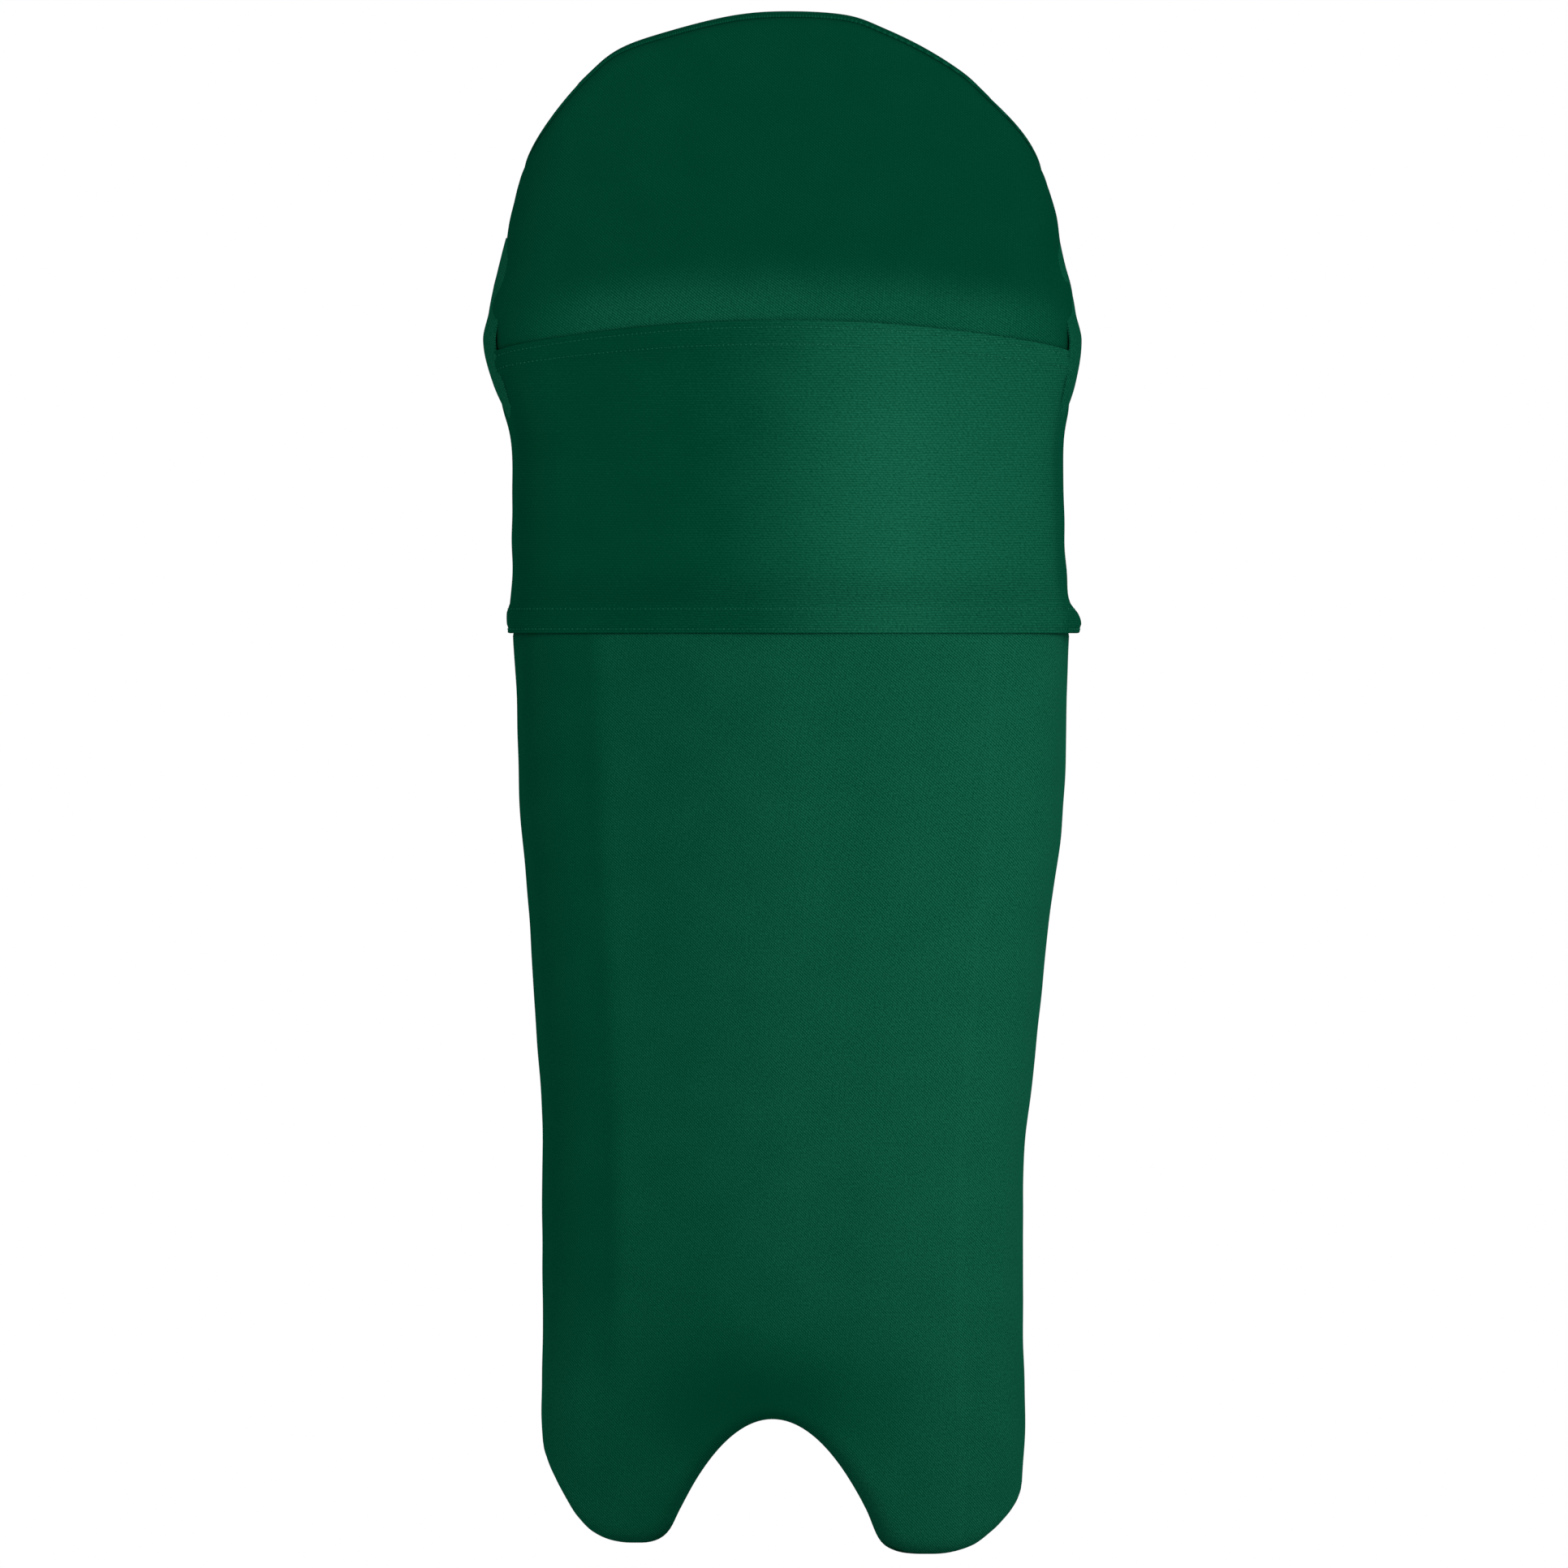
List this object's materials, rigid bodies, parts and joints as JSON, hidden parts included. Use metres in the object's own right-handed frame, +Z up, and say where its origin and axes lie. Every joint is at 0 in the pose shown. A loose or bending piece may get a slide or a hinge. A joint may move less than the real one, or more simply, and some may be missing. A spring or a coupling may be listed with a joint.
{
  "type": "cricket leg pad",
  "caption": "Adult batting pad for the leg in a dark green stretch-knit cover: shin with fold-back wings, knee band, rounded top hat, instep arch and straps behind.",
  "frame": {"origin": "on the leg's axis, in the channel between the wings, level with the pad's lowest point", "axes": "+Z up the leg along the pad's length, -Y the way the face points, +X to the right as seen from the front"},
  "size_m": [0.2736, 0.181, 0.7196],
  "materials": {
    "cover_twill": "matte",
    "cover_band": "matte",
    "cover_hood": "matte",
    "facing": "satin",
    "lining": "matte",
    "foam": "matte",
    "cane": "satin",
    "webbing": "matte",
    "hook_and_loop": "matte"
  },
  "bodies": {
    "shin": {"shin_cover": "cover_twill", "shin_facing": "facing", "shin_front_foam": "foam", "shin_back_foam": "foam", "shin_lining": "lining", "shin_bolster_left": "lining", "shin_bolster_right": "lining", "shin_cane_1": "cane", "shin_cane_2": "cane", "shin_cane_3": "cane", "shin_cane_4": "cane", "shin_cane_5": "cane", "shin_cane_6": "cane", "shin_cane_7": "cane"},
    "wing_left": {"cover_side_left": "cover_twill", "wing_facing_left": "facing", "wing_foam_left": "foam", "wing_lining_left": "lining", "ankle_strap_anchor": "webbing", "calf_strap_anchor": "webbing"},
    "wing_right": {"cover_side_right": "cover_twill", "wing_facing_right": "facing", "wing_foam_right": "foam", "wing_lining_right": "lining", "ankle_strap_tab": "hook_and_loop", "calf_strap_tab": "hook_and_loop"},
    "knee": {"knee_band": "cover_band", "knee_backing": "foam", "knee_lining": "lining", "knee_side_left": "lining", "knee_side_right": "lining", "knee_bolster_left": "lining", "knee_bolster_right": "lining", "knee_roll_1": "facing", "knee_roll_2": "facing", "knee_roll_3": "facing", "knee_strap_anchor": "webbing", "knee_strap_tab": "hook_and_loop"},
    "top_hat": {"hood_front": "cover_hood", "hood_back": "cover_hood", "top_hat_front_foam": "foam", "top_hat_back_foam": "foam", "top_hat_lining": "lining", "top_hat_stiffener_1": "cane", "top_hat_stiffener_2": "cane", "top_hat_stiffener_3": "cane", "top_hat_stiffener_4": "cane", "top_hat_stiffener_5": "cane"},
    "ankle_strap": {"ankle_strap_webbing": "webbing", "ankle_strap_pad": "lining", "ankle_strap_hook": "hook_and_loop"},
    "calf_strap": {"calf_strap_webbing": "webbing", "calf_strap_pad": "lining", "calf_strap_hook": "hook_and_loop"},
    "knee_strap": {"knee_strap_webbing": "webbing", "knee_strap_pad": "lining", "knee_strap_hook": "hook_and_loop"}
  },
  "joints": [
    {"name": "knee_flex", "type": "hinge", "parent": "shin", "child": "knee", "pos_m": [0, -0.09804, 0.433], "axis": [-1, 0, 0], "range_deg": [0, 12], "stiffness_Nm_per_rad": 4, "deforming": ["knee_band"]},
    {"name": "top_hat_flex", "type": "hinge", "parent": "knee", "child": "top_hat", "pos_m": [0, -0.10998, 0.571], "axis": [-1, 0, 0], "range_deg": [0, 18], "stiffness_Nm_per_rad": 2, "deforming": ["hood_front"]},
    {"name": "wing_left_flex", "type": "hinge", "parent": "shin", "child": "wing_left", "pos_m": [-0.1015, -0.08119, 0.09], "axis": [-0.0371, 0, 0.9993], "range_deg": [0, 30], "stiffness_Nm_per_rad": 1, "deforming": ["cover_side_left"]},
    {"name": "wing_right_flex", "type": "hinge", "parent": "shin", "child": "wing_right", "pos_m": [0.10273, -0.08119, 0.09], "axis": [-0.0555, 0, -0.9985], "range_deg": [0, 30], "stiffness_Nm_per_rad": 1, "deforming": ["cover_side_right"]},
    {"name": "ankle_strap_swing", "type": "hinge", "parent": "wing_left", "child": "ankle_strap", "pos_m": [-0.08533, 0.02043, 0.125], "axis": [0, 0, 1], "range_deg": [0, 110]},
    {"name": "calf_strap_swing", "type": "hinge", "parent": "wing_left", "child": "calf_strap", "pos_m": [-0.09237, 0.02043, 0.335], "axis": [0, 0, 1], "range_deg": [0, 110]},
    {"name": "knee_strap_swing", "type": "hinge", "parent": "knee", "child": "knee_strap", "pos_m": [-0.09545, -0.0033, 0.505], "axis": [0, 0, 1], "range_deg": [0, 110]}
  ]
}
